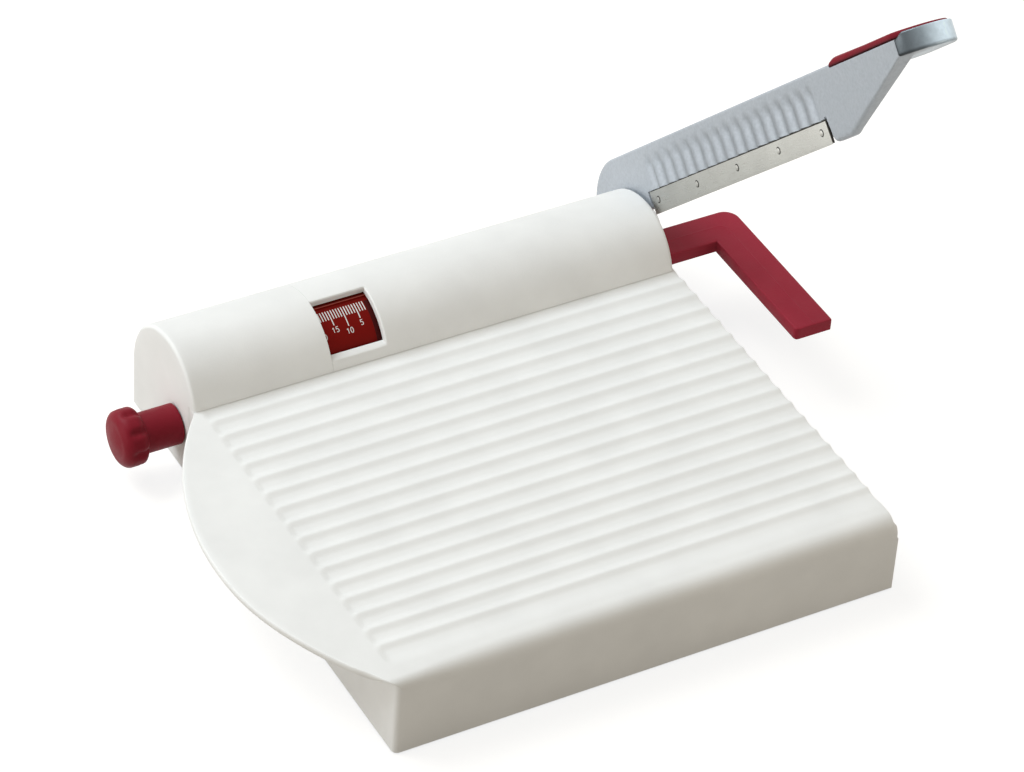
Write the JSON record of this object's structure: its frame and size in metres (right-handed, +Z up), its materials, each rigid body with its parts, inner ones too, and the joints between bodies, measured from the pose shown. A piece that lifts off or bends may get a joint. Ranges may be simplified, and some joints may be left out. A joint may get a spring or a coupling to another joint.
{
  "type": "lever cheese slicer",
  "caption": "Grooved cutting board with a round flange, a hinged lever that carries a steel blade, and a thickness stop moved by a knob and read on a scale in a window.",
  "frame": {"origin": "middle of the footprint, on the table under the feet", "axes": "+X to the right along the housing, from the knob to the lever; +Y to the back, from the board to the housing; +Z up"},
  "size_m": [0.2504, 0.2034, 0.2078],
  "materials": {
    "white_plastic": "fine matte moulding",
    "red_plastic": "satin moulding",
    "cast_aluminium": "cast and lacquered",
    "blade_steel": "ground",
    "steel": "plain",
    "bearing_plastic": "plain",
    "nut_brass": "turned",
    "foot_rubber": "matte"
  },
  "bodies": {
    "base": {"board": "white_plastic", "base_plate": "white_plastic", "rubber_feet": "foot_rubber", "base_screws": "steel", "housing": "white_plastic", "end_cover": "white_plastic", "guide_rod": "steel", "bearing_bracket": "bearing_plastic", "spindle_bush": "bearing_plastic", "pivot_bolt": "steel", "pivot_nut": "steel", "friction_washer": "bearing_plastic", "spring_washer": "steel"},
    "lever": {"lever_arm": "cast_aluminium", "blade": "blade_steel", "blade_rivets": "steel", "grip_pad": "red_plastic", "pivot_bush": "bearing_plastic"},
    "stop": {"thickness_stop": "red_plastic", "scale_slide": "red_plastic", "stop_screws": "steel", "drive_nut": "nut_brass"},
    "dial": {"knob": "red_plastic", "spindle": "steel", "spindle_clip": "steel"}
  },
  "joints": [
    {"name": "lever_swing", "type": "hinge", "parent": "base", "child": "lever", "pos_m": [0.09075, 0.0759, 0.0275], "axis": [-1, 0, 0], "range_deg": [-44.7, 25]},
    {"name": "knob_turn", "type": "hinge", "parent": "base", "child": "dial", "pos_m": [-0.11025, 0.0576, 0.0173], "axis": [1, 0, 0], "range_deg": [-1487.2, 119.2]},
    {"name": "stop_slide", "type": "slide", "parent": "base", "child": "stop", "axis": [1, 0, 0], "range_m": [-0.0206, 0.0016]}
  ],
  "couplings": [
    {"joint": "knob_turn", "follows": "stop_slide", "rad_per_m": 1256.6}
  ]
}
